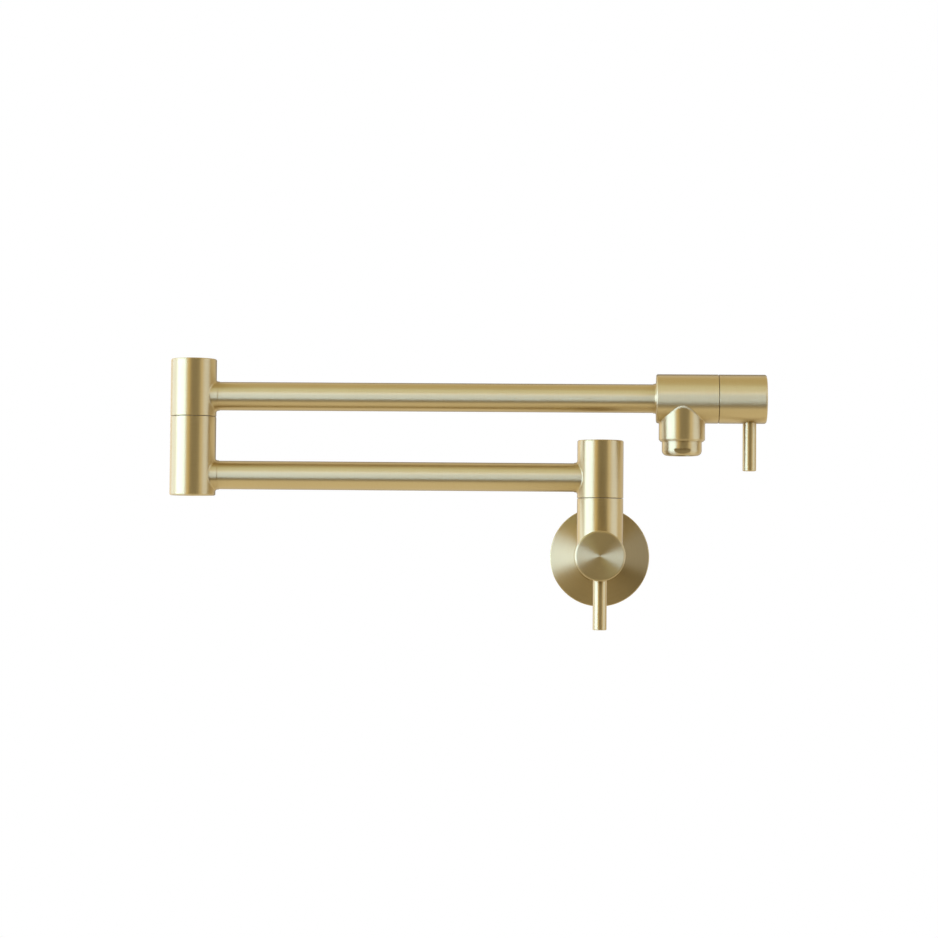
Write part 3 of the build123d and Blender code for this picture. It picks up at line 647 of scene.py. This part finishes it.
def lamp(name, direction, distance, half_angles, brightness):
    """A softbox that lights the floor and the plastics. The metal reflects the windows and cards instead."""
    light = bpy.data.lights.new(name, "AREA")
    light.shape = "RECTANGLE"
    light.size, light.size_y = (panel_size(distance, a) for a in half_angles)
    light.energy = brightness * math.pi * light.size * light.size_y
    lit = bpy.data.objects.new(name, light)
    lit.visible_camera = lit.visible_glossy = False
    bpy.context.scene.collection.objects.link(lit)
    aim(lit, direction, distance, 1, 1)


def unit_sheet(name):
    """A level square, one metre wide, as part of the stage."""
    mesh = bmesh.new()
    bmesh.ops.create_grid(mesh, x_segments=4, y_segments=4, size=0.5)
    data = bpy.data.meshes.new(name)
    mesh.to_mesh(data)
    mesh.free()
    sheet = bpy.data.objects.new(name, data)
    bpy.context.scene.collection.objects.link(sheet)
    return sheet


def level_sheet(name, front, back, width, height):
    """A level rectangle between two distances from the wall's face."""
    sheet = unit_sheet(name)
    middle = Matrix.Translation((0, (front + back) / 2, height))
    sheet.matrix_world = middle @ Matrix.Diagonal((width, back - front, 1, 1))
    return sheet


def glowing(sheet, level, colour="#FFFFFF"):
    """Gives a sheet an even brightness, where 1 is white, that only the metal's reflections see."""
    material, tree = new_material(f"Even light, {in_words(sheet.name)}")
    light = add(tree, "ShaderNodeEmission", {"Color": linear(colour), "Strength": level})
    add(tree, "ShaderNodeOutputMaterial", {"Surface": light.outputs[0]})
    sheet.data.materials.append(material)
    for ray in ("camera", "diffuse", "shadow", "transmission"):
        setattr(sheet, "visible_" + ray, False)


def card(name, direction, distance, half_angles, level, colour="#FFFFFF"):
    """A window, or a card that a photographer stands round bright metal, bright or dark.

    Its direction is an azimuth and an elevation, and it fills twice its half angles to either side and
    upwards, all in degrees.
    """
    sheet = unit_sheet(name)
    aim(sheet, direction, distance, *(panel_size(distance, a) for a in half_angles))
    glowing(sheet, level, colour)


def seen_directly(tree):
    """1 for camera, mirror and glass rays, which show the white studio, and 0 for those that light it."""
    path = add(tree, "ShaderNodeLightPath").outputs
    camera, glossy, glass = path["Is Camera Ray"], path["Is Glossy Ray"], path["Is Transmission Ray"]
    either = add(tree, "ShaderNodeMath", {0: camera, 1: glossy}, operation="MAXIMUM").outputs[0]
    return add(tree, "ShaderNodeMath", {0: either, 1: glass}, operation="MAXIMUM").outputs[0]


def white_room():
    """A world that is white to look at and lights the object from all sides a little below that."""
    lighting, showing = 0.9, 1.0
    world = bpy.data.worlds.new("White studio")
    bpy.context.scene.world = world
    world.use_nodes = True
    tree = world.node_tree
    tree.nodes.clear()
    strength = add(tree, "ShaderNodeMix", {"Factor": seen_directly(tree), 2: lighting, 3: showing}).outputs[0]
    sky = add(tree, "ShaderNodeBackground", {"Color": (1, 1, 1, 1), "Strength": strength})
    add(tree, "ShaderNodeOutputWorld", {"Surface": sky.outputs[0]})


def pale_floor(drop):
    """A white painted floor, matt: it melts into the white room and still keeps a soft shadow."""
    white_share = 0.7
    floor = level_sheet("floor", FLOOR_FRONT, FLOOR_BACK, FLOOR_WIDTH, -drop)
    material, tree = new_material("White painted floor")
    matt = add(tree, "ShaderNodeBsdfDiffuse", {"Color": linear("#F2F2F2")})
    white = add(tree, "ShaderNodeEmission", {"Color": (1, 1, 1, 1), "Strength": 1.0})
    share = add(
        tree, "ShaderNodeMath", {0: seen_directly(tree), 1: white_share}, operation="MULTIPLY"
    ).outputs[0]
    paint = add(tree, "ShaderNodeMixShader", {0: share, 1: matt.outputs[0], 2: white.outputs[0]})
    add(tree, "ShaderNodeOutputMaterial", {"Surface": paint.outputs[0]})
    floor.data.materials.append(material)


def windows_and_cards(studio):
    """What the metal mirrors: windows and cards round the object, and one lamp that it doesn't mirror.

    The windows are cool, as daylight is beside a lit room, and bright enough to wash the gold out to a
    pale highlight on the columns. A warm card between the left window and the camera stands for a lamp in
    the room, and a dark card in front gives the columns the deep band beside their highlights. The
    worktop, the ceiling and the front edge light the tubes from below and above.
    """
    card("left_window", (-58.5, 4), FAR, (25.5, 21), studio.window, "#92B5FF")
    card("high_left_card", (-55, 44), FAR, (20, 15), 3.0, "#C0E0F8")
    card("left_rear_card", (-105, 5), FAR, (20, 38), 4.2, "#B2CAFF")
    card("rear_left_card", (-142, 5), FAR, (16, 38), 1.5)
    card("right_window", (77, 8), FAR, (20, 26), studio.side, "#B0C6FF")
    card("right_near_card", (48, 8), FAR, (8, 26), 1.5)
    card("front_card", (13, -13), NEAR, (26, 33), 0.0)
    card("room_lamp_card", (-22, 8), NEAR, (9, 21), 1.55, "#FFE698")
    card("ceiling_card", (0, 90), NEAREST, (28, 28), 0.87, "#FFFBE2")
    card("rear_card", (180, 5), NEAREST, (22, 38), 0.4)
    lamp("key_lamp", (-50, 45), FAR, (25, 25), 2.0)
    above_the_floor = 0.01
    worktop = level_sheet(
        "worktop_card", FLOOR_FRONT, WORKTOP_BACK, FLOOR_WIDTH, above_the_floor - studio.floor_drop
    )
    glowing(worktop, 1.22, "#F6F8FC")
    edge = level_sheet("floor_edge_card", EDGE_FRONT, FLOOR_FRONT, EDGE_WIDTH, -studio.floor_drop)
    glowing(edge, 0.32, "#FFF4DC")


def camera_of_the_photograph(focal):
    """A camera at the photograph's place and angle."""
    lens = bpy.data.cameras.new("camera")
    lens.sensor_width = SENSOR_WIDTH_MM
    lens.lens = focal
    camera = bpy.data.objects.new("camera", lens)
    bpy.context.scene.collection.objects.link(camera)
    turn, tilt, roll = (math.radians(a) for a in (CAMERA_TURN, CAMERA_TILT, CAMERA_ROLL))
    ahead = Vector((math.sin(turn) * math.cos(tilt), math.cos(turn) * math.cos(tilt), math.sin(tilt)))
    level = Vector((math.cos(turn), -math.sin(turn), 0))
    above = level.cross(ahead)
    right = level * math.cos(roll) + above * math.sin(roll)
    upright = above * math.cos(roll) - level * math.sin(roll)
    axes = Matrix((right, upright, -ahead)).transposed().to_4x4()
    camera.matrix_world = Matrix.Translation(CAMERA_PLACE) @ axes
    bpy.context.scene.camera = camera


class PotFillerStage(bpy.types.Operator):
    """Makes the floor, the white room, the windows and cards and the camera"""

    bl_idname = "pot_filler.stage"
    bl_label = "Studio"

    def execute(self, context):
        studio = context.scene.pot_filler_studio
        context.scene.view_settings.view_transform = "Standard"
        white_room()
        pale_floor(studio.floor_drop)
        windows_and_cards(studio)
        camera_of_the_photograph(studio.focal)
        return {"FINISHED"}


PIECES = (
    PotFillerColumns,
    PotFillerTubes,
    PotFillerBodies,
    PotFillerHandles,
    PotFillerRose,
    PotFillerAerator,
    PotFillerWallEnd,
    PotFillerSwivels,
    PotFillerCartridges,
    PotFillerStage,
)
SETTINGS = (("finish", PotFillerFinish), ("sizes", PotFillerSizes), ("studio", PotFillerStudio))


class PotFillerPanel(bpy.types.Panel):
    """Lists the pot filler's settings and pieces"""

    bl_idname = "VIEW3D_PT_pot_filler"
    bl_label = "Pot filler"
    bl_space_type = "VIEW_3D"
    bl_region_type = "UI"
    bl_category = "Pot filler"

    def draw(self, context):
        for name, group in SETTINGS:
            settings = getattr(context.scene, "pot_filler_" + name)
            for field in group.__annotations__:
                self.layout.prop(settings, field)
        for piece in PIECES:
            self.layout.operator(piece.bl_idname)


def register():
    for group in (*(g for _, g in SETTINGS), *PIECES, PotFillerPanel):
        bpy.utils.register_class(group)
    for name, group in SETTINGS:
        setattr(bpy.types.Scene, "pot_filler_" + name, bpy.props.PointerProperty(type=group))


def unregister():
    for name, _ in SETTINGS:
        delattr(bpy.types.Scene, "pot_filler_" + name)
    for group in (PotFillerPanel, *reversed(PIECES), *(g for _, g in SETTINGS)):
        bpy.utils.unregister_class(group)


def main():
    register()
    for piece in PIECES:
        getattr(bpy.ops.pot_filler, piece.bl_idname.split(".")[1])()


if __name__ == "__main__":
    main()
